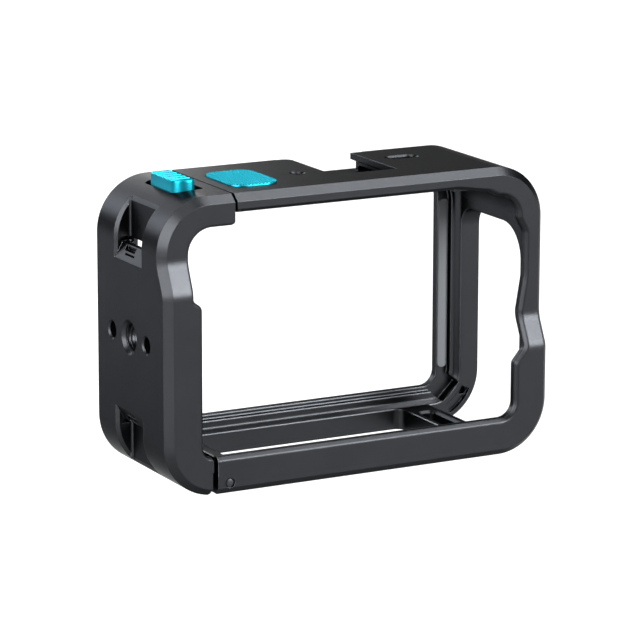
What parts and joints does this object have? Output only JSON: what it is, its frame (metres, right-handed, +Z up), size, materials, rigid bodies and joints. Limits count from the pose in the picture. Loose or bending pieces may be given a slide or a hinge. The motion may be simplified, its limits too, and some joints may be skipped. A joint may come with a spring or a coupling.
{
  "type": "camera cage",
  "caption": "Aluminium cage for a small action camera: stepped front frame, hinged side door with a thumb latch, shutter pad, shoe open to the rear and a side thread.",
  "frame": {"origin": "under the middle of the cage, on the face it stands on", "axes": "+X towards the post with the side window, away from the door; +Y from the lens side to the rear rim; +Z up, towards the shoe"},
  "size_m": [0.079, 0.0302, 0.0558],
  "materials": {
    "anodised": "dark grey anodised, fine bead blast, satin",
    "blue_anodised": "light blue anodised, satin",
    "steel": "plain stainless, ground",
    "dark_steel": "black oxide",
    "pad_rubber": "matt silicone"
  },
  "bodies": {
    "cage": {"main_frame": "anodised", "hinge_pin": "dark_steel", "rear_pad_right": "pad_rubber", "button_spring": "steel"},
    "door": {"side_door": "anodised", "rear_pad_left": "pad_rubber", "latch_cover": "anodised", "cover_screws": "dark_steel", "detent_spring": "steel"},
    "latch": {"latch_slider": "blue_anodised", "latch_bolt": "steel", "latch_screws": "dark_steel"},
    "button": {"shutter_button": "blue_anodised", "button_plunger": "steel", "button_clip": "dark_steel"}
  },
  "joints": [
    {"name": "door_hinge", "type": "hinge", "parent": "cage", "child": "door", "pos_m": [-0.02715, 0, 0.0022], "axis": [0, -1, 0], "range_deg": [0, 95]},
    {"name": "latch_slide", "type": "slide", "parent": "door", "child": "latch", "axis": [0, 1, 0], "range_m": [0, 0.002], "deforming": ["detent_spring"]},
    {"name": "shutter_press", "type": "slide", "parent": "cage", "child": "button", "axis": [0, 0, -1], "range_m": [0, 0.0006], "stiffness_N_per_m": 800, "springref_m": -0.0002, "deforming": ["button_spring"]}
  ]
}
